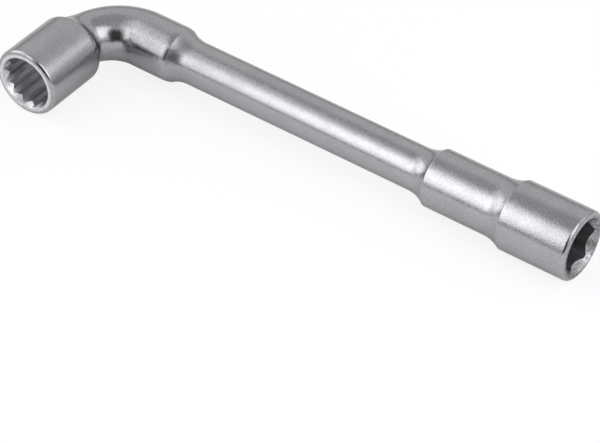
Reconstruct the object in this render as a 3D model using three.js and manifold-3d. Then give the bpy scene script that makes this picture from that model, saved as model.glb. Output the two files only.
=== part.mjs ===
// L-shaped socket wrench, lying flat: a long round shank with a six-point socket at its end, and,
// round a tight elbow, a short head with a twelve-point socket. Millimetres and degrees, +Z up.
// +X runs along the shank to the six-point mouth, and the head points along -Y.
import * as THREE from "three";
import { mergeVertices } from "three/addons/utils/BufferGeometryUtils.js";
import Module from "manifold-3d";

// Drive: what both sockets turn.
const NUT_AF = 13; // across the flats of the nut
const NUT_CLEARANCE = 0.1; // between nut and socket, across the flats
const SOCKET_WALL = 3.2; // from a socket's flat to its outside
const DRIVE_LENGTH = 20.3; // of each socket, from its back wall to its mouth
const MOUTH_ROUND = 1.1; // outer edge of each mouth

// Six-point socket at the end of the shank.
const HEX_DEPTH = 16; // length of the flats
const HEX_CORNER_RELIEF = 0.3; // taken off each corner
const HEX_LEAD_MARGIN = 0.8; // lead-in cone past the corners, at the mouth
const HEX_LEAD_ANGLE = 36; // of the lead-in cone from the axis
const SOCKET_FLARE = 11; // radius of the flare that runs up to it
const SOCKET_BACK_ROUND = 0.5; // where the flare ends

// Twelve-point socket in the head.
const BIHEX_DEPTH = 12;
const BIHEX_CORNER_RELIEF = 0.3;
const BIHEX_LEAD_MARGIN = 0.5;
const BIHEX_LEAD_ANGLE = 28;
const BIHEX_TURN = -9; // of the points about the head's axis
const HEAD_BACK_ROUND = 3;
const HEAD_FLOOR = 2.6; // solid left behind the drill point

// Round hole that clears a long stud behind the flats.
const BORE_RELIEF = 0.7; // narrower than the flats, across
const DRILL_POINT = 118; // angle of the drill's point

// Collar that carries the six-point socket.
const COLLAR_WALL = 1.95; // round the clearance hole
const COLLAR_LENGTH = 24;
const COLLAR_FLARE = 10;
const COLLAR_ROUND = 0.5;
const COLLAR_FLOOR = 4.6;

// Shank, and its flared root at the elbow.
const SHANK_D = 12.2;
const SHANK_LENGTH = 83;
const ROOT_LENGTH = 5.4;

// Elbow: a neck behind the head that swells through the bend, then a straight stretch to the shank.
const NECK_D = 14.2;
const NECK_FILLET = 9; // up to the rounded back of the head
const NECK_STRAIGHT = 0.65; // from the head's back to the bend
const BEND_R = 13.8; // of the centreline
const BEND_ANGLE = 90;
const ELBOW_D = 15.8;
const ELBOW_STRAIGHT = 11.7;
const EASE_LENGTH = 2; // where it draws in towards the crease at the shank's root
const EASE_DROP = 0.3;

// Facets.
const AROUND = 60; // sides of a round piece
const ARC_STEPS = 5; // along a fillet or a rounded edge
const BEND_STEPS = 18;
const CUT = 1; // how far a cutting shape runs past the face that it opens

// Sizes that follow from those above.
const DRIVE_AF = NUT_AF + NUT_CLEARANCE;
const DRIVE_R = DRIVE_AF / 2 + SOCKET_WALL;
const BORE_R = (DRIVE_AF - BORE_RELIEF) / 2;
const POINT_LENGTH = BORE_R / Math.tan(radians(DRILL_POINT / 2));
const CORNER_R = DRIVE_AF / 2 / Math.cos(radians(30));
const COLLAR_R = BORE_R + COLLAR_WALL;
const SHANK_R = SHANK_D / 2;
const NECK_R = NECK_D / 2;
const ELBOW_R = ELBOW_D / 2;
const HEAD_LEAN = flareLean(NECK_R, DRIVE_R, NECK_FILLET, HEAD_BACK_ROUND);
const SOCKET_LEAN = flareLean(COLLAR_R, DRIVE_R, SOCKET_FLARE, SOCKET_BACK_ROUND);
const COLLAR_LEAN = flareLean(SHANK_R, COLLAR_R, COLLAR_FLARE, COLLAR_ROUND);
const HEAD_BACK = BEND_R + NECK_STRAIGHT; // the shank's axis to the head's back wall
const HEAD_REACH = HEAD_BACK + DRIVE_LENGTH; // the shank's axis to the twelve-point mouth
const SHANK_AT = BEND_R + ELBOW_STRAIGHT; // the head's axis to the shank's root
const COLLAR_AT = SHANK_AT + SHANK_LENGTH;
const SOCKET_AT = COLLAR_AT + COLLAR_LENGTH;
const REACH = SOCKET_AT + DRIVE_LENGTH; // the head's axis to the six-point mouth

const wasm = await Module();
wasm.setup();

function radians(degrees) {
  return THREE.MathUtils.degToRad(degrees);
}

// A point of a turned profile: how far out from the axis, and how far along it.
function at(out, along) {
  return new THREE.Vector2(out, along);
}

// An arc of a turned profile. Angle 0 points out from the axis and 90 points along it.
function arc(out, along, radius, from, to) {
  return Array.from({ length: ARC_STEPS + 1 }, (_, i) => {
    const a = radians(from + ((to - from) * i) / ARC_STEPS);
    return at(out + radius * Math.cos(a), along + radius * Math.sin(a));
  });
}

// Turns a profile, which starts and ends on the axis, about the Y axis.
function turned(profile) {
  return new THREE.LatheGeometry(profile, AROUND);
}

function solid(geometry) {
  const bare = geometry.clone();
  bare.deleteAttribute("normal");
  bare.deleteAttribute("uv");
  const merged = mergeVertices(bare);
  return new wasm.Manifold(
    new wasm.Mesh({
      numProp: 3,
      vertProperties: merged.attributes.position.array,
      triVerts: new Uint32Array(merged.index.array),
    }),
  );
}

function geometryOf(body) {
  const { vertProperties, triVerts } = body.getMesh();
  const geometry = new THREE.BufferGeometry();
  geometry.setAttribute("position", new THREE.BufferAttribute(vertProperties, 3));
  geometry.setIndex(new THREE.BufferAttribute(triVerts, 1));
  geometry.computeVertexNormals();
  return geometry;
}

// Steepest slope of a shoulder whose flare runs smoothly into its rounded edge.
function flareLean(low, high, flare, round) {
  const cosine = THREE.MathUtils.clamp(1 - (high - low) / (flare + round), 0, 1);
  return THREE.MathUtils.radToDeg(Math.acos(cosine));
}

// The hollow arc of a shoulder, up to the seam at end.
function flareArc(low, flare, lean, end) {
  return arc(low + flare, end - flare * Math.sin(radians(lean)), flare, 180, 180 - lean);
}

// The rounded edge of a shoulder, from the seam at 0.
function edgeArc(high, round, lean) {
  return arc(high - round, round * Math.sin(radians(lean)), round, -lean, 0);
}

// Radius of an arc that leaves a straight line and moves off it by rise over length.
function sweepRadius(rise, length) {
  return (rise ** 2 + length ** 2) / (2 * rise);
}

function sweepAngle(rise, length) {
  return THREE.MathUtils.radToDeg(Math.asin(length / sweepRadius(rise, length)));
}

// Outside of a socket: back face at 0 with its edge, cylinder, rounded edge and flat mouth.
function socketBlank(backEdge) {
  return turned([
    at(0, 0),
    ...backEdge,
    ...arc(DRIVE_R - MOUTH_ROUND, DRIVE_LENGTH - MOUTH_ROUND, MOUTH_ROUND, 0, 90),
    at(0, DRIVE_LENGTH),
  ]);
}

// Section of a broach: flats at the nut's size, with each point cut back to cornerR.
// Twelve points are two hexagons turned against each other, which leaves a ridge between points.
function broachSection(points, cornerR, turn) {
  const pitch = 360 / points;
  const flat = DRIVE_AF / 2;
  const halfTip = 30 - THREE.MathUtils.radToDeg(Math.acos(flat / cornerR));
  const ridgeR = flat / Math.cos(radians(30 - pitch / 2));
  const outline = [];
  for (let i = 0; i < points; i++) {
    const corner = turn + i * pitch;
    for (const [radius, angle] of [
      [cornerR, corner - halfTip],
      [cornerR, corner],
      [cornerR, corner + halfTip],
      [ridgeR, corner + pitch / 2],
    ]) {
      outline.push(at(radius * Math.cos(radians(angle)), radius * Math.sin(radians(angle))));
    }
  }
  return new THREE.Shape(outline);
}

// Hollow of a socket, to be cut from its blank: the broached flats and the cone that leads into them.
function broachedHollow(points, depth, relief, margin, angle, turn) {
  const cornerR = CORNER_R - relief;
  const section = broachSection(points, cornerR, turn);
  const flats = new THREE.ExtrudeGeometry(section, { depth: depth + CUT, bevelEnabled: false });
  flats.rotateX(-Math.PI / 2).translate(0, DRIVE_LENGTH - depth, 0);
  const leadR = cornerR + margin;
  const slope = Math.tan(radians(angle));
  const cone = turned([
    at(0, DRIVE_LENGTH - leadR / slope),
    at(leadR + CUT * slope, DRIVE_LENGTH + CUT),
    at(0, DRIVE_LENGTH + CUT),
  ]);
  return solid(flats).add(solid(cone));
}

// Drilled hole with a conical floor, open at the far end. Its point stands at floor.
function drilledHole(floor, end) {
  return solid(
    turned([at(0, floor), at(BORE_R, floor + POINT_LENGTH), at(BORE_R, end + CUT), at(0, end + CUT)]),
  );
}

function bihexHead() {
  const hollow = broachedHollow(
    12,
    BIHEX_DEPTH,
    BIHEX_CORNER_RELIEF,
    BIHEX_LEAD_MARGIN,
    BIHEX_LEAD_ANGLE,
    BIHEX_TURN,
  );
  const hole = drilledHole(HEAD_FLOOR, DRIVE_LENGTH);
  const backEdge = edgeArc(DRIVE_R, HEAD_BACK_ROUND, HEAD_LEAN);
  return geometryOf(solid(socketBlank(backEdge)).subtract(hollow.add(hole)));
}

function hexSocket() {
  const hollow = broachedHollow(6, HEX_DEPTH, HEX_CORNER_RELIEF, HEX_LEAD_MARGIN, HEX_LEAD_ANGLE, 0);
  const hole = drilledHole(-CUT - POINT_LENGTH, DRIVE_LENGTH);
  const backEdge = edgeArc(DRIVE_R, SOCKET_BACK_ROUND, SOCKET_LEAN);
  return geometryOf(solid(socketBlank(backEdge)).subtract(hollow.add(hole)));
}

// Collar: rounded back edge, cylinder, and the flare up to the socket.
function collar() {
  const blank = turned([
    at(0, 0),
    ...edgeArc(COLLAR_R, COLLAR_ROUND, COLLAR_LEAN),
    ...flareArc(COLLAR_R, SOCKET_FLARE, SOCKET_LEAN, COLLAR_LENGTH),
    at(0, COLLAR_LENGTH),
  ]);
  return geometryOf(solid(blank).subtract(drilledHole(COLLAR_FLOOR, COLLAR_LENGTH)));
}

// Shank: a root that sweeps down from the elbow's crease, the plain bar, and the flare up to the collar.
function shank() {
  const rise = ELBOW_R - EASE_DROP - SHANK_R;
  const sweep = sweepRadius(rise, ROOT_LENGTH);
  return turned([
    at(0, 0),
    ...arc(SHANK_R + sweep, ROOT_LENGTH, sweep, 180 + sweepAngle(rise, ROOT_LENGTH), 180),
    ...flareArc(SHANK_R, COLLAR_FLARE, COLLAR_LEAN, SHANK_LENGTH),
    at(0, SHANK_LENGTH),
  ]);
}

// The elbow before it is bent: a fillet off the head's rounded back, the neck swelling through the bend
// to the elbow's full size, and the straight stretch that draws in at its far end.
function straightElbow(bendLength) {
  const bendEnd = NECK_STRAIGHT + bendLength;
  const end = bendEnd + ELBOW_STRAIGHT;
  const neck = NECK_FILLET * Math.sin(radians(HEAD_LEAN));
  const ease = sweepRadius(EASE_DROP, EASE_LENGTH);
  const swell = Array.from({ length: BEND_STEPS }, (_, i) => {
    const share = (i + 1) / BEND_STEPS;
    return at(NECK_R + (ELBOW_R - NECK_R) * share, neck + (bendEnd - neck) * share);
  });
  return turned([
    at(0, 0),
    ...arc(NECK_R + NECK_FILLET, neck, NECK_FILLET, 180 + HEAD_LEAN, 180),
    ...swell,
    ...arc(ELBOW_R - ease, end - EASE_LENGTH, ease, 0, sweepAngle(EASE_DROP, EASE_LENGTH)),
    at(0, end),
  ]);
}

// Bends the straight elbow, which runs along +Y from the head's back wall, round towards +X.
function elbow() {
  const bendLength = BEND_R * radians(BEND_ANGLE);
  const geometry = straightElbow(bendLength);
  const position = geometry.getAttribute("position");
  for (let i = 0; i < position.count; i++) {
    const across = position.getX(i);
    const along = position.getY(i) - NECK_STRAIGHT;
    const bent = THREE.MathUtils.clamp(along, 0, bendLength);
    const a = bent / BEND_R;
    const straight = along - bent;
    const reach = BEND_R - across;
    position.setXY(
      i,
      BEND_R - reach * Math.cos(a) + straight * Math.sin(a),
      -BEND_R + reach * Math.sin(a) + straight * Math.cos(a),
    );
  }
  geometry.computeVertexNormals();
  return geometry;
}

function satinChrome() {
  return new THREE.MeshStandardMaterial({ color: 0xb6b7ba, roughness: 0.3, metalness: 1 });
}

function piece(name, geometry) {
  const mesh = new THREE.Mesh(geometry, satinChrome());
  mesh.name = name;
  return mesh;
}

// A turned piece laid along the shank's axis, with its near face at the given distance.
function alongShank(name, geometry, distance) {
  const mesh = piece(name, geometry);
  mesh.rotation.z = -Math.PI / 2;
  mesh.position.x = distance;
  return mesh;
}

const head = piece("bihex_head", bihexHead());
head.rotation.z = Math.PI;
head.position.y = -HEAD_BACK;

// The axes of shank and head cross at this group's origin.
const wrench = new THREE.Group();
wrench.add(
  head,
  piece("elbow", elbow()),
  alongShank("shank", shank(), SHANK_AT),
  alongShank("collar", collar(), COLLAR_AT),
  alongShank("hex_socket", hexSocket(), SOCKET_AT),
);

// Laid down with the middle of its outline over the origin and both sockets' sides at the ground.
wrench.position.set((DRIVE_R - REACH) / 2, (HEAD_REACH - DRIVE_R) / 2, DRIVE_R);
const part = new THREE.Group();
part.add(wrench);

export default part;
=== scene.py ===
import math

import bmesh
import bpy
from mathutils import Matrix, Quaternion, Vector


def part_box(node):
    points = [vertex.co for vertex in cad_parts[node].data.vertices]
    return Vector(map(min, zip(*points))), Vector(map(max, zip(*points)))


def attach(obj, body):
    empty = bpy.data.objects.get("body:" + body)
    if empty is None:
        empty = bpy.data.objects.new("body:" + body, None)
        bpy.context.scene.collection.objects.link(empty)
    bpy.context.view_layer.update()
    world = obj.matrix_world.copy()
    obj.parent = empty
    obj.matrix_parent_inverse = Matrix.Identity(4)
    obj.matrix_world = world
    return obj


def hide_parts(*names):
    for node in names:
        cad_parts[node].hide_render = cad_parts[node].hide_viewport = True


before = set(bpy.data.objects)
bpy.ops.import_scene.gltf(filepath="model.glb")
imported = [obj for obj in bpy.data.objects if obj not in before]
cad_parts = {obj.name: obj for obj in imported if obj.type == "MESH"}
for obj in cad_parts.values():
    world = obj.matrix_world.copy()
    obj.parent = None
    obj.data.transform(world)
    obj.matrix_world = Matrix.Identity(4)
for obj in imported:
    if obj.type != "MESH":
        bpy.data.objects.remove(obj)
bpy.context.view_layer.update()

MM = 0.001

# Places and outside sizes that the solids give.
head_low, head_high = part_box("bihex_head")
shank_low, shank_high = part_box("shank")
collar_low, collar_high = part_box("collar")
socket_low, socket_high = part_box("hex_socket")
DRIVE_R = (socket_high.z - socket_low.z) / 2
DRIVE_LENGTH = socket_high.x - socket_low.x
COLLAR_LENGTH = collar_high.x - collar_low.x
SHANK_LENGTH = shank_high.x - shank_low.x
AXIS_Y = (socket_low.y + socket_high.y) / 2
AXIS_Z = (socket_low.z + socket_high.z) / 2
HEAD_X = (head_low.x + head_high.x) / 2
HEAD_BACK = AXIS_Y - head_high.y  # the shank's axis to the head's back wall

# Sizes of the forging.
SHANK_R = 6.1 * MM
COLLAR_R = 8.15 * MM
NECK_R = 7.1 * MM
ELBOW_R = 7.9 * MM
BEND_R = 13.8 * MM
ROOT_LENGTH = 5.4 * MM
EASE_LENGTH = 2 * MM
EASE_DROP = 0.3 * MM
COLLAR_FLARE = 10 * MM
COLLAR_ROUND = 0.5 * MM
SOCKET_FLARE = 11 * MM
SOCKET_BACK_ROUND = 0.5 * MM
NECK_STRAIGHT = HEAD_BACK - BEND_R
NECK_FILLET = 9 * MM
HEAD_BACK_ROUND = 3 * MM
MOUTH_ROUND = 1.1 * MM

# Sizes of the broached sockets.
FLAT_R = 6.55 * MM
CORNER_R = FLAT_R / math.cos(math.radians(30))
HEX_POINTS = 6
HEX_DEPTH = 16 * MM
HEX_CORNER_RELIEF = 0.3 * MM
HEX_LEAD_MARGIN = 0.8 * MM
HEX_LEAD_ANGLE = 36
BIHEX_POINTS = 12
BIHEX_DEPTH = 12 * MM
BIHEX_CORNER_RELIEF = 0.3 * MM
BIHEX_LEAD_MARGIN = 0.5 * MM
BIHEX_LEAD_ANGLE = 28
BIHEX_TURN = -9
BORE_R = 6.2 * MM
DRILL_POINT = BORE_R / math.tan(math.radians(118 / 2))
HEAD_FLOOR = 2.6 * MM
COLLAR_FLOOR = 4.6 * MM

# Fineness of the meshes.
SIDES = 168  # round the bar
ARC_STEPS = 14
BEND_STEPS = 72
WALL_STEPS = 5  # across one flat of a broach
COLLAR_SECTORS = 12
WELD = 0.002 * MM
CREASE = 28  # degrees from which an edge shades as a sharp one

PLATE, GROUND, BROACHED = range(3)  # finishes of a socket's faces


def linear(hex_colour):
    """An sRGB hex colour as linear red, green, blue and alpha."""
    channels = [int(hex_colour[i:i + 2], 16) / 255 for i in (1, 3, 5)]
    return [c / 12.92 if c <= 0.04045 else ((c + 0.055) / 1.055) ** 2.4 for c in channels] + [1]


def add_node(tree, kind, settings=(), inputs=()):
    """Adds a node with its settings. An input is a value, or a socket to link."""
    node = tree.nodes.new(kind)
    for name, value in dict(settings).items():
        setattr(node, name, value)
    for name, value in dict(inputs).items():
        if isinstance(value, bpy.types.NodeSocket):
            tree.links.new(value, node.inputs[name])
        else:
            node.inputs[name].default_value = value
    return node


# Materials


def new_finish(name, inputs):
    """A metal with the given inputs of its shader: returns the material, its tree and the shader."""
    material = bpy.data.materials.new(name)
    material.use_nodes = True
    tree = material.node_tree
    shader = tree.nodes["Principled BSDF"]
    shader.inputs["Metallic"].default_value = 1
    shader.inputs["Specular Tint"].default_value = linear("#E2E2E2")
    for label, value in inputs.items():
        shader.inputs[label].default_value = value
    return material, tree, shader


GRAIN = 0.35 * MM  # satin grit: a real one is finer, and is drawn coarse enough to show
GRAIN_STRETCH = 0.6  # its marks' width over their length, which runs round the bar
RIPPLE = 9 * MM  # unevenness that polishing leaves on a forging
CLOUD = 5 * MM  # patches in the plate's tone
CLOUD_SHARE = 0.3  # of the tone, beside the grain
GRAIN_HEIGHT = 0.036 * MM
RIPPLE_HEIGHT = 0.05 * MM
ROOT_DULL = 0.2  # roughness added at the shank's root, where the polishing wheel doesn't reach


def satin_chrome(name, stretch):
    # Satin chrome plate on a polished forging: a cool grey, slightly blurred mirror, in which lamps
    # become soft stripes with grainy edges that waver a little.
    material, tree, shader = new_finish(name, {})
    place = add_node(tree, "ShaderNodeTexCoord").outputs["Object"]
    drawn = add_node(tree, "ShaderNodeMapping", inputs={"Vector": place, "Scale": stretch})
    grain = add_node(
        tree,
        "ShaderNodeTexNoise",
        inputs={"Vector": drawn.outputs["Vector"], "Scale": 1 / GRAIN, "Detail": 3, "Roughness": 0.6},
    )
    ripple = add_node(
        tree, "ShaderNodeTexNoise", inputs={"Vector": place, "Scale": 1 / RIPPLE, "Detail": 1}
    )
    cloud = add_node(
        tree, "ShaderNodeTexNoise", inputs={"Vector": place, "Scale": 1 / CLOUD, "Detail": 4}
    )
    mottle = add_node(
        tree,
        "ShaderNodeMath",
        {"operation": "MULTIPLY_ADD"},
        {0: cloud.outputs["Fac"], 1: CLOUD_SHARE, 2: grain.outputs["Fac"]},
    )
    tone = add_node(tree, "ShaderNodeValToRGB", inputs={"Fac": mottle.outputs["Value"]})
    tone.color_ramp.elements[0].position = 0.48
    tone.color_ramp.elements[0].color = linear("#9D9CA0")
    tone.color_ramp.elements[1].position = 0.82
    tone.color_ramp.elements[1].color = linear("#AFAFB2")
    blur = add_node(
        tree,
        "ShaderNodeMapRange",
        inputs={
            "Value": grain.outputs["Fac"],
            "From Min": 0.3,
            "From Max": 0.7,
            "To Min": 0.14,
            "To Max": 0.24,
        },
    )
    waver = add_node(
        tree, "ShaderNodeBump", inputs={"Distance": RIPPLE_HEIGHT, "Height": ripple.outputs["Fac"]}
    )
    grit = add_node(
        tree,
        "ShaderNodeBump",
        inputs={
            "Distance": GRAIN_HEIGHT,
            "Height": grain.outputs["Fac"],
            "Normal": waver.outputs["Normal"],
        },
    )
    dull = add_node(tree, "ShaderNodeAttribute", {"attribute_name": "dull"})
    duller = add_node(
        tree,
        "ShaderNodeMath",
        {"operation": "ADD"},
        {0: blur.outputs["Result"], 1: dull.outputs["Fac"]},
    )
    tree.links.new(tone.outputs["Color"], shader.inputs["Base Color"])
    tree.links.new(duller.outputs["Value"], shader.inputs["Roughness"])
    tree.links.new(grit.outputs["Normal"], shader.inputs["Normal"])
    return material


TURNING = 0.35 * MM  # feed of the tool that faced the mouth
TURNING_HEIGHT = 0.004 * MM
WAVE_PERIOD = math.tau / 20  # of a wave texture at scale 1
SMEAR = 0.8 * MM  # blotches that the tool and the plating left


def faced_mouth(name, centre, turn, dark, light):
    # Chromed mouth as the lathe faced it: duller and blotchier than the plate, with faint rings. The dark
    # and light tones come per mouth, and the head's are painted lighter than the six-point socket's: that
    # difference is painted light.
    material, tree, shader = new_finish(name, {"Roughness": 0.34})
    place = add_node(tree, "ShaderNodeTexCoord").outputs["Object"]
    smear = add_node(
        tree, "ShaderNodeTexNoise", inputs={"Vector": place, "Scale": 1 / SMEAR, "Detail": 4}
    )
    tone = add_node(tree, "ShaderNodeValToRGB", inputs={"Fac": smear.outputs["Fac"]})
    tone.color_ramp.elements[0].position = 0.35
    tone.color_ramp.elements[0].color = linear(dark)
    tone.color_ramp.elements[1].position = 0.65
    tone.color_ramp.elements[1].color = linear(light)
    tree.links.new(tone.outputs["Color"], shader.inputs["Base Color"])
    middle = add_node(
        tree,
        "ShaderNodeMapping",
        {"vector_type": "TEXTURE"},
        {"Vector": place, "Location": centre, "Rotation": turn},
    )
    rings = add_node(
        tree,
        "ShaderNodeTexWave",
        {"wave_type": "RINGS", "rings_direction": "Z"},
        {
            "Vector": middle.outputs["Vector"],
            "Scale": WAVE_PERIOD / TURNING,
            "Distortion": 0.6,
            "Detail": 1,
        },
    )
    marks = add_node(
        tree, "ShaderNodeBump", inputs={"Distance": TURNING_HEIGHT, "Height": rings.outputs["Fac"]}
    )
    tree.links.new(marks.outputs["Normal"], shader.inputs["Normal"])
    return material


STREAK = 0.5 * MM  # width of the marks that the broach drew along the flats
STREAK_STRETCH = 0.03  # a streak's width over its length
STREAK_HEIGHT = 0.006 * MM


def broached_bore(name, stretch, dark, light):
    # Steel as the broach left it, under thin plate, which the hole's own shade makes look dark grey, with
    # fine streaks along the hole. The dark and light tones come per socket, and the head's are painted
    # lighter than the six-point socket's: that difference is painted light, standing in for the light that
    # reaches each hole.
    material, tree, shader = new_finish(name, {})
    place = add_node(tree, "ShaderNodeTexCoord").outputs["Object"]
    drawn = add_node(tree, "ShaderNodeMapping", inputs={"Vector": place, "Scale": stretch})
    streaks = add_node(
        tree,
        "ShaderNodeTexNoise",
        inputs={"Vector": drawn.outputs["Vector"], "Scale": 1 / STREAK, "Detail": 3, "Roughness": 0.6},
    )
    tone = add_node(tree, "ShaderNodeValToRGB", inputs={"Fac": streaks.outputs["Fac"]})
    tone.color_ramp.elements[0].position = 0.35
    tone.color_ramp.elements[0].color = linear(dark)
    tone.color_ramp.elements[1].position = 0.65
    tone.color_ramp.elements[1].color = linear(light)
    blur = add_node(
        tree,
        "ShaderNodeMapRange",
        inputs={"Value": streaks.outputs["Fac"], "To Min": 0.25, "To Max": 0.45},
    )
    marks = add_node(
        tree, "ShaderNodeBump", inputs={"Distance": STREAK_HEIGHT, "Height": streaks.outputs["Fac"]}
    )
    tree.links.new(tone.outputs["Color"], shader.inputs["Base Color"])
    tree.links.new(blur.outputs["Result"], shader.inputs["Roughness"])
    tree.links.new(marks.outputs["Normal"], shader.inputs["Normal"])
    return material


# Outlines, as points out from an axis and along it


def arc(out, along, radius, start, end):
    """An arc from start to end, in degrees: 0 points out from the axis and 90 points along it."""
    angles = [math.radians(start + (end - start) * i / ARC_STEPS) for i in range(ARC_STEPS + 1)]
    return [(out + radius * math.cos(a), along + radius * math.sin(a)) for a in angles]


def flare_lean(low, high, flare, round_r):
    """Steepest slope, in degrees, of a shoulder whose flare runs smoothly into its rounded edge."""
    return math.degrees(math.acos(1 - (high - low) / (flare + round_r)))


def flare_arc(low, flare, lean, end):
    """The hollow arc of a shoulder, up to the seam at end."""
    return arc(low + flare, end - flare * math.sin(math.radians(lean)), flare, 180, 180 - lean)


def edge_arc(high, round_r, lean):
    """The rounded edge of a shoulder, from the seam at 0."""
    return arc(high - round_r, round_r * math.sin(math.radians(lean)), round_r, -lean, 0)


def sweep_radius(rise, length):
    """Radius of an arc that leaves a straight line and moves off it by rise over length."""
    return (rise ** 2 + length ** 2) / (2 * rise)


def sweep_angle(rise, length):
    """Angle of that arc, in degrees."""
    return math.degrees(math.asin(length / sweep_radius(rise, length)))


COLLAR_LEAN = flare_lean(SHANK_R, COLLAR_R, COLLAR_FLARE, COLLAR_ROUND)
SOCKET_LEAN = flare_lean(COLLAR_R, DRIVE_R, SOCKET_FLARE, SOCKET_BACK_ROUND)
HEAD_LEAN = flare_lean(NECK_R, DRIVE_R, NECK_FILLET, HEAD_BACK_ROUND)


# Shape trees


def new_tree(name, sockets):
    """A geometry tree with a geometry in and out and the named inputs: returns it and its input node."""
    tree = bpy.data.node_groups.new(name, "GeometryNodeTree")
    tree.interface.new_socket("Geometry", in_out="INPUT", socket_type="NodeSocketGeometry")
    for label, kind in sockets.items():
        tree.interface.new_socket(label, in_out="INPUT", socket_type=kind)
    tree.interface.new_socket("Geometry", in_out="OUTPUT", socket_type="NodeSocketGeometry")
    return tree, add_node(tree, "NodeGroupInput").outputs


def bar_tree():
    """Sweeps a round bar along a path, as thick at each point as the path's attribute reach says."""
    tree, given = new_tree("round_bar", {"Sides": "NodeSocketInt", "Plate": "NodeSocketMaterial"})
    path = add_node(tree, "GeometryNodeMeshToCurve", inputs={"Mesh": given["Geometry"]})
    reach = add_node(
        tree, "GeometryNodeInputNamedAttribute", {"data_type": "FLOAT"}, {"Name": "reach"}
    )
    circle = add_node(
        tree, "GeometryNodeCurvePrimitiveCircle", inputs={"Resolution": given["Sides"], "Radius": 1}
    )
    bar = add_node(
        tree,
        "GeometryNodeCurveToMesh",
        inputs={
            "Curve": path.outputs["Curve"],
            "Profile Curve": circle.outputs["Curve"],
            "Scale": reach.outputs["Attribute"],
            "Fill Caps": True,
        },
    )
    real = add_node(tree, "GeometryNodeRealizeInstances", inputs={"Geometry": bar.outputs["Mesh"]})
    plated = add_node(
        tree,
        "GeometryNodeSetMaterial",
        inputs={"Geometry": real.outputs["Geometry"], "Material": given["Plate"]},
    )
    add_node(tree, "NodeGroupOutput", inputs={"Geometry": plated.outputs["Geometry"]})
    return tree


def socket_tree():
    """Sets one sector of a socket round the Z axis as often as it has points, and welds the sectors.
    The faces' attribute finish says which of the three finishes each has."""
    finishes = {"Ground": GROUND, "Broached": BROACHED}
    sockets = {"Points": "NodeSocketInt", "Turn": "NodeSocketFloat", "Weld": "NodeSocketFloat"}
    materials = dict.fromkeys(["Plate", *finishes], "NodeSocketMaterial")
    tree, given = new_tree("pointed_socket", {**sockets, **materials})
    sector = add_node(tree, "GeometryNodeGeometryToInstance", inputs={"Geometry": given["Geometry"]})
    copies = add_node(
        tree,
        "GeometryNodeDuplicateElements",
        {"domain": "INSTANCE"},
        {"Geometry": sector.outputs["Instances"], "Amount": given["Points"]},
    )
    pitch = add_node(tree, "ShaderNodeMath", {"operation": "DIVIDE"}, {0: math.tau, 1: given["Points"]})
    angle = add_node(
        tree,
        "ShaderNodeMath",
        {"operation": "MULTIPLY_ADD"},
        {0: copies.outputs["Duplicate Index"], 1: pitch.outputs["Value"], 2: given["Turn"]},
    )
    turn = add_node(
        tree,
        "FunctionNodeAxisAngleToRotation",
        inputs={"Axis": (0, 0, 1), "Angle": angle.outputs["Value"]},
    )
    ring = add_node(
        tree,
        "GeometryNodeRotateInstances",
        inputs={"Instances": copies.outputs["Geometry"], "Rotation": turn.outputs["Rotation"]},
    )
    real = add_node(tree, "GeometryNodeRealizeInstances", inputs={"Geometry": ring.outputs["Instances"]})
    welded = add_node(
        tree,
        "GeometryNodeMergeByDistance",
        inputs={"Geometry": real.outputs["Geometry"], "Distance": given["Weld"]},
    )
    finish = add_node(
        tree, "GeometryNodeInputNamedAttribute", {"data_type": "INT"}, {"Name": "finish"}
    )
    plated = add_node(
        tree,
        "GeometryNodeSetMaterial",
        inputs={"Geometry": welded.outputs["Geometry"], "Material": given["Plate"]},
    )
    shape = plated.outputs["Geometry"]
    for label, number in finishes.items():
        chosen = add_node(
            tree,
            "FunctionNodeCompare",
            {"data_type": "INT", "operation": "EQUAL"},
            {2: finish.outputs["Attribute"], 3: number},
        )
        dressed = add_node(
            tree,
            "GeometryNodeSetMaterial",
            inputs={"Geometry": shape, "Selection": chosen.outputs["Result"], "Material": given[label]},
        )
        shape = dressed.outputs["Geometry"]
    add_node(tree, "NodeGroupOutput", inputs={"Geometry": shape})
    return tree


def grown(draft, tree, inputs):
    """Runs a tree on a draft mesh with the named inputs, and keeps the result as a plain mesh."""
    modifier = draft.modifiers.new(tree.name, "NODES")
    modifier.node_group = tree
    for item in tree.interface.items_tree:
        if item.in_out == "INPUT" and item.name in inputs:
            modifier[item.identifier] = inputs[item.name]
    depsgraph = bpy.context.evaluated_depsgraph_get()
    mesh = bpy.data.meshes.new_from_object(draft.evaluated_get(depsgraph))
    draft.modifiers.clear()
    draft.data = mesh
    return draft


def finished(piece, node, placing=Matrix.Identity(4)):
    """Puts a piece in its place, turns its faces outwards and sets it in the part."""
    mesh = piece.data
    mesh.transform(placing)
    body = bmesh.new()
    body.from_mesh(mesh)
    bmesh.ops.recalc_face_normals(body, faces=body.faces)
    body.to_mesh(mesh)
    body.free()
    mesh.shade_smooth()
    mesh.set_sharp_from_angle(angle=math.radians(CREASE))
    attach(piece, "root")
    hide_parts(node)


def draft_object(name, mesh):
    """A mesh as an object in the scene."""
    piece = bpy.data.objects.new(name, mesh)
    bpy.context.scene.collection.objects.link(piece)
    return piece


# Swept pieces


def bar(name, stations):
    """A draft of a bar: its path's points, how thick it is at each, and how dull its plate is there."""
    mesh = bpy.data.meshes.new(name)
    points, reaches, dulls = zip(*stations)
    mesh.from_pydata(points, [(i, i + 1) for i in range(len(points) - 1)], [])
    for label, values in {"reach": reaches, "dull": dulls}.items():
        mesh.attributes.new(label, "FLOAT", "POINT").data.foreach_set("value", values)
    return draft_object(name, mesh)


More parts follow.
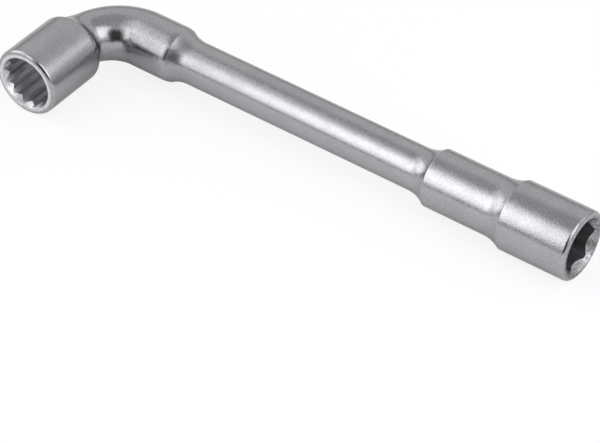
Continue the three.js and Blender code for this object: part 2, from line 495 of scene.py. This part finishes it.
def shank_stations():
    """The root that sweeps down from the elbow's crease, the plain bar, and the flare up to the collar."""
    rise = ELBOW_R - EASE_DROP - SHANK_R
    sweep = sweep_radius(rise, ROOT_LENGTH)
    root = arc(SHANK_R + sweep, ROOT_LENGTH, sweep, 180 + sweep_angle(rise, ROOT_LENGTH), 180)
    outline = root + flare_arc(SHANK_R, COLLAR_FLARE, COLLAR_LEAN, SHANK_LENGTH)
    stations = []
    for out, along in outline:
        dull = ROOT_DULL * max(1 - along / ROOT_LENGTH, 0)
        stations.append((Vector((shank_low.x + along, AXIS_Y, AXIS_Z)), out, dull))
    return stations


def elbow_outline(bend_length):
    """The fillet off the head's rounded back, the neck swelling through the bend, and the straight end."""
    bend_end = NECK_STRAIGHT + bend_length
    end = bend_end + shank_low.x - HEAD_X - BEND_R
    neck = NECK_FILLET * math.sin(math.radians(HEAD_LEAN))
    fillet = arc(NECK_R + NECK_FILLET, neck, NECK_FILLET, 180 + HEAD_LEAN, 180)
    shares = [(i + 1) / BEND_STEPS for i in range(BEND_STEPS)]
    swell = [(NECK_R + (ELBOW_R - NECK_R) * s, neck + (bend_end - neck) * s) for s in shares]
    ease_r = sweep_radius(EASE_DROP, EASE_LENGTH)
    ease = arc(ELBOW_R - ease_r, end - EASE_LENGTH, ease_r, 0, sweep_angle(EASE_DROP, EASE_LENGTH))
    return fillet + swell + ease


def elbow_stations():
    """The elbow's outline, led from the head's back wall round the bend to the shank."""
    bend_length = BEND_R * math.pi / 2
    stations = []
    for out, along in elbow_outline(bend_length):
        gone = along - NECK_STRAIGHT
        bent = min(max(gone, 0), bend_length)
        angle = bent / BEND_R
        straight = gone - bent
        x = BEND_R - BEND_R * math.cos(angle) + straight * math.sin(angle)
        y = -BEND_R + BEND_R * math.sin(angle) + straight * math.cos(angle)
        stations.append((Vector((HEAD_X + x, AXIS_Y + y, AXIS_Z)), out, 0))
    return stations


# Sockets and collar, drawn as one sector about the Z axis with the back wall at 0


def broach_angles(points, corner_r):
    """Angles across one sector, from ridge or flat to the next, with a corner in the middle."""
    half = math.pi / points
    tip = math.radians(30) - math.acos(FLAT_R / corner_r)
    side = [tip + (half - tip) * (i / WALL_STEPS) for i in range(WALL_STEPS + 1)]
    return [-a for a in reversed(side)] + [0] + side


def broach_reach(angle, corner_r):
    """How far out the broach cuts at an angle from a corner."""
    flat = FLAT_R / math.cos(math.radians(30) - abs(angle))
    return min(corner_r, flat)


def sector(name, angles, outline_at):
    """A draft of one sector. outline_at gives the outline at an angle, as out, along and finish."""
    outlines = [outline_at(angle) for angle in angles]
    rows = len(outlines[0])
    points = [
        (out * math.cos(angle), out * math.sin(angle), along)
        for angle, outline in zip(angles, outlines)
        for out, along, _ in outline
    ]
    faces = [
        (c * rows + r, c * rows + r + 1, (c + 1) * rows + r + 1, (c + 1) * rows + r)
        for c in range(len(angles) - 1)
        for r in range(rows - 1)
    ]
    mesh = bpy.data.meshes.new(name)
    mesh.from_pydata(points, [], faces)
    finish = mesh.attributes.new("finish", "INT", "FACE")
    row_finish = [outlines[0][r + 1][2] for r in range(rows - 1)]
    finish.data.foreach_set("value", row_finish * (len(angles) - 1))
    return draft_object(name, mesh)


def in_finish(finish, outline):
    """An outline whose points all have one finish."""
    return [(out, along, finish) for out, along in outline]


def socket_outline(angle, back, depth, corner_r, margin, lead_angle, end):
    """Outline of a socket at an angle: back edge, cylinder, mouth, lead-in cone, broached wall and hole."""
    reach = broach_reach(angle, corner_r)
    lead_r = corner_r + margin
    lead_depth = (lead_r - reach) / math.tan(math.radians(lead_angle))
    mouth = arc(DRIVE_R - MOUTH_ROUND, DRIVE_LENGTH - MOUTH_ROUND, MOUTH_ROUND, 0, 90)
    floor = DRIVE_LENGTH - depth
    return (
        in_finish(PLATE, back + mouth)
        + in_finish(GROUND, [(lead_r, DRIVE_LENGTH), (reach, DRIVE_LENGTH - lead_depth)])
        + in_finish(BROACHED, [(reach, floor), (BORE_R, floor)] + end)
    )


def head_outline(angle):
    back = [(0, 0)] + edge_arc(DRIVE_R, HEAD_BACK_ROUND, HEAD_LEAN)
    end = [(BORE_R, HEAD_FLOOR + DRILL_POINT), (0, HEAD_FLOOR)]
    corner_r = CORNER_R - BIHEX_CORNER_RELIEF
    return socket_outline(angle, back, BIHEX_DEPTH, corner_r, BIHEX_LEAD_MARGIN, BIHEX_LEAD_ANGLE, end)


def hex_outline(angle):
    back = [(BORE_R, 0)] + edge_arc(DRIVE_R, SOCKET_BACK_ROUND, SOCKET_LEAN)
    corner_r = CORNER_R - HEX_CORNER_RELIEF
    return socket_outline(angle, back, HEX_DEPTH, corner_r, HEX_LEAD_MARGIN, HEX_LEAD_ANGLE, [(BORE_R, 0)])


def collar_outline(_):
    outside = edge_arc(COLLAR_R, COLLAR_ROUND, COLLAR_LEAN)
    outside += flare_arc(COLLAR_R, SOCKET_FLARE, SOCKET_LEAN, COLLAR_LENGTH)
    hole = [(BORE_R, COLLAR_LENGTH), (BORE_R, COLLAR_FLOOR + DRILL_POINT), (0, COLLAR_FLOOR)]
    return in_finish(PLATE, [(0, 0)] + outside) + in_finish(BROACHED, hole)


ALONG_SHANK = Matrix.Rotation(math.pi / 2, 4, "Y")
ALONG_HEAD = Matrix.Rotation(math.pi / 2, 4, "X")


def build_wrench():
    plate = satin_chrome("satin_chrome_plate_along_x", (1, GRAIN_STRETCH, GRAIN_STRETCH))
    head_plate = satin_chrome("satin_chrome_plate_along_y", (GRAIN_STRETCH, 1, GRAIN_STRETCH))
    round_bar = bar_tree()
    pointed_socket = socket_tree()

    for name, stations in {"shank": shank_stations(), "elbow": elbow_stations()}.items():
        piece = grown(bar(f"{name}_bar", stations), round_bar, {"Sides": SIDES, "Plate": plate})
        finished(piece, name)

    # Lit and shaded copies of the broached steel: the head's tones are painted lighter than the six-point
    # socket's, as painted light.
    hex_bore = broached_bore("broached_steel_along_x", (STREAK_STRETCH, 1, 1), "#A8A8AC", "#C2C2C6")
    head_bore = broached_bore("broached_steel_along_y", (1, STREAK_STRETCH, 1), "#C8C8CC", "#E0E0E4")
    # Lit and shaded copies of the faced mouth: the head's tones are painted lighter than the six-point
    # socket's, as painted light.
    hex_face = faced_mouth(
        "faced_mouth_along_x", (0, AXIS_Y, AXIS_Z), (0, math.pi / 2, 0), "#77787A", "#B4B5B7"
    )
    head_face = faced_mouth(
        "faced_mouth_along_y", (HEAD_X, 0, AXIS_Z), (math.pi / 2, 0, 0), "#C8C8CA", "#E4E4E6"
    )

    step = math.tau / COLLAR_SECTORS
    columns = SIDES // COLLAR_SECTORS
    collar_angles = [step * (i / columns - 0.5) for i in range(columns + 1)]
    collar = grown(
        sector("collar_ring", collar_angles, collar_outline),
        pointed_socket,
        {"Points": COLLAR_SECTORS, "Weld": WELD, "Plate": plate, "Ground": hex_face, "Broached": hex_bore},
    )
    place = Matrix.Translation((collar_low.x, AXIS_Y, AXIS_Z)) @ ALONG_SHANK
    finished(collar, "collar", place)

    hex_angles = broach_angles(HEX_POINTS, CORNER_R - HEX_CORNER_RELIEF)
    hex_socket = grown(
        sector("six_point_socket", hex_angles, hex_outline),
        pointed_socket,
        {
            "Points": HEX_POINTS,
            "Turn": math.pi / 2,
            "Weld": WELD,
            "Plate": plate,
            "Ground": hex_face,
            "Broached": hex_bore,
        },
    )
    place = Matrix.Translation((socket_low.x, AXIS_Y, AXIS_Z)) @ ALONG_SHANK
    finished(hex_socket, "hex_socket", place)

    head_angles = broach_angles(BIHEX_POINTS, CORNER_R - BIHEX_CORNER_RELIEF)
    head = grown(
        sector("twelve_point_head", head_angles, head_outline),
        pointed_socket,
        {
            "Points": BIHEX_POINTS,
            "Turn": math.radians(BIHEX_TURN),
            "Weld": WELD,
            "Plate": head_plate,
            "Ground": head_face,
            "Broached": head_bore,
        },
    )
    place = Matrix.Translation((HEAD_X, head_high.y, AXIS_Z)) @ ALONG_HEAD
    finished(head, "bihex_head", place)


# Studio

VIEW_AZIMUTH = math.radians(34.13)
VIEW_ELEVATION = math.radians(40.98)
VIEW_ROLL = math.radians(2.278)
VIEW_DISTANCE = 833.4 * MM
VIEW_AIM = Vector((7.6, -6.37, -7.82)) * MM  # where the middle of the picture passes the part
LENS = 190.96  # millimetres, as is the sensor's width
SENSOR = 36


def add_camera():
    right = Vector((math.cos(VIEW_AZIMUTH), math.sin(VIEW_AZIMUTH), 0))
    back = Vector((
        math.sin(VIEW_AZIMUTH) * math.cos(VIEW_ELEVATION),
        -math.cos(VIEW_AZIMUTH) * math.cos(VIEW_ELEVATION),
        math.sin(VIEW_ELEVATION),
    ))
    turn = Matrix((right, back.cross(right), back)).transposed() @ Matrix.Rotation(VIEW_ROLL, 3, "Z")
    data = bpy.data.cameras.new("camera")
    data.lens = LENS
    data.sensor_width = SENSOR
    camera = bpy.data.objects.new("camera", data)
    camera.matrix_world = Matrix.LocRotScale(VIEW_AIM + back * VIEW_DISTANCE, turn, None)
    bpy.context.scene.collection.objects.link(camera)
    bpy.context.scene.camera = camera


def towards(azimuth, elevation):
    """The direction at an azimuth from +X and an elevation, in degrees."""
    az, el = math.radians(azimuth), math.radians(elevation)
    return Vector((math.cos(az) * math.cos(el), math.sin(az) * math.cos(el), math.sin(el)))


def add_softbox(name, azimuth, elevation, distance, size, brightness, target=(0, 0, 0), spread=180, roll=0):
    """A soft lamp that faces a target, with its light held to a spread in degrees."""
    width, height = size
    direction = towards(azimuth, elevation)
    data = bpy.data.lights.new(name, "AREA")
    data.shape = "RECTANGLE"
    data.size = width
    data.size_y = height
    data.spread = math.radians(spread)
    data.energy = brightness * math.pi * width * height
    lamp = bpy.data.objects.new(name, data)
    lamp.location = Vector(target) + direction * distance
    turn = Quaternion((0, 0, 1), math.radians(roll))
    lamp.rotation_euler = (direction.to_track_quat("Z", "Y") @ turn).to_euler()
    bpy.context.scene.collection.objects.link(lamp)


# Shades of the room by the sine of the elevation.
ROOM_SHADES = [(0, "#666666"), (0.09, "#BEBEBE"), (0.2, "#EDEDED"), (0.78, "#EDEDED"), (0.87, "#C6C6C6")]
OPENING = (-69, 27)  # its azimuth and elevation
OPENING_HALF = (27, 26)  # half its width and height, in degrees
OPENING_FADE = 5  # degrees to either side of its edge
OPENING_LIGHT = 0.06


def add_room():
    """A pale room that fades at the horizon and overhead, with a dark opening behind the camera."""
    world = bpy.data.worlds.new("studio")
    bpy.context.scene.world = world
    world.use_nodes = True
    tree = world.node_tree
    direction = add_node(tree, "ShaderNodeTexCoord").outputs["Generated"]
    height = add_node(tree, "ShaderNodeSeparateXYZ", inputs={"Vector": direction})
    shade = add_node(tree, "ShaderNodeValToRGB", inputs={"Fac": height.outputs["Z"]})
    ramp = shade.color_ramp
    for _ in ROOM_SHADES[2:]:
        ramp.elements.new(0.5)
    for element, (position, colour) in zip(ramp.elements, ROOM_SHADES):
        element.position = position
        element.color = linear(colour)
    azimuth, elevation = OPENING
    ahead = add_node(
        tree, "ShaderNodeVectorMath", {"operation": "DOT_PRODUCT"}, {0: direction, 1: towards(*OPENING)}
    )
    inside = add_node(
        tree, "ShaderNodeMath", {"operation": "GREATER_THAN"}, {0: ahead.outputs["Value"], 1: 0}
    )
    across = [towards(azimuth + 90, 0), towards(azimuth, elevation + 90)]
    for side, half in zip(across, OPENING_HALF):
        off = add_node(
            tree, "ShaderNodeVectorMath", {"operation": "DOT_PRODUCT"}, {0: direction, 1: side}
        )
        far = add_node(tree, "ShaderNodeMath", {"operation": "ABSOLUTE"}, {0: off.outputs["Value"]})
        within = add_node(
            tree,
            "ShaderNodeMapRange",
            {"interpolation_type": "SMOOTHSTEP"},
            {
                "Value": far.outputs["Value"],
                "From Min": math.sin(math.radians(half + OPENING_FADE)),
                "From Max": math.sin(math.radians(half - OPENING_FADE)),
            },
        )
        inside = add_node(
            tree,
            "ShaderNodeMath",
            {"operation": "MULTIPLY"},
            {0: inside.outputs["Value"], 1: within.outputs["Result"]},
        )
    light = add_node(
        tree,
        "ShaderNodeMapRange",
        inputs={"Value": inside.outputs["Value"], "To Min": 1, "To Max": OPENING_LIGHT},
    )
    background = tree.nodes["Background"]
    tree.links.new(shade.outputs["Color"], background.inputs["Color"])
    tree.links.new(light.outputs["Result"], background.inputs["Strength"])


FLOOR_HALF = 4  # metres
FLOOR_WHITE = 0.85  # share of the table's white that shadow doesn't take
FLOOR_WHITE_MIRRORED = 0.15  # the same share as the part mirrors it


def add_table():
    """A white table that camera and mirror rays see as the plain background, with a faint shadow."""
    mesh = bpy.data.meshes.new("table")
    h = FLOOR_HALF
    mesh.from_pydata([(-h, -h, 0), (h, -h, 0), (h, h, 0), (-h, h, 0)], [], [(0, 1, 2, 3)])
    table = draft_object("table", mesh)
    material = bpy.data.materials.new("white_card")
    material.use_nodes = True
    tree = material.node_tree
    tree.nodes.remove(tree.nodes["Principled BSDF"])
    ray = add_node(tree, "ShaderNodeLightPath").outputs
    mirror = add_node(
        tree,
        "ShaderNodeMath",
        {"operation": "MAXIMUM"},
        {0: ray["Is Glossy Ray"], 1: ray["Is Transmission Ray"]},
    )
    plain = add_node(
        tree,
        "ShaderNodeMath",
        {"operation": "MULTIPLY"},
        {0: mirror.outputs["Value"], 1: FLOOR_WHITE_MIRRORED},
    )
    share = add_node(
        tree,
        "ShaderNodeMath",
        {"operation": "MULTIPLY_ADD"},
        {0: ray["Is Camera Ray"], 1: FLOOR_WHITE, 2: plain.outputs["Value"]},
    )
    card = add_node(tree, "ShaderNodeBsdfDiffuse", inputs={"Color": linear("#FAFAFA")})
    white = add_node(tree, "ShaderNodeEmission", inputs={"Color": linear("#FFFFFF"), "Strength": 1})
    mix = add_node(
        tree,
        "ShaderNodeMixShader",
        inputs={0: share.outputs["Value"], 1: card.outputs["BSDF"], 2: white.outputs["Emission"]},
    )
    tree.links.new(mix.outputs["Shader"], tree.nodes["Material Output"].inputs["Surface"])
    mesh.materials.append(material)


# A narrow lamp that brightens the bar's stripe. It is rolled, so that its image follows the bar and
# passes the elbow by.
CORE_AIM = Vector((172, -48, 24)) * MM
CORE_SPREAD = 66
CORE_ROLL = 26

build_wrench()
add_table()
add_room()
# Azimuth and elevation in degrees, distance, width and height in metres, and brightness.
add_softbox("left_softbox", -143, 36, 0.8, (1.15, 0.98), 0.52)
add_softbox("left_softbox_core", -136, 29, 0.42, (0.25, 0.6), 0.27, CORE_AIM, CORE_SPREAD, CORE_ROLL)
add_softbox("left_softbox_end", -162, 26, 0.9, (0.5, 0.58), 0.9)
add_softbox("right_softbox", -10, 48, 0.8, (0.62, 0.68), 1.5)
add_softbox("back_softbox", 42, 34, 0.8, (0.3, 0.3), 0.55)
add_camera()
bpy.context.scene.view_settings.view_transform = "Standard"
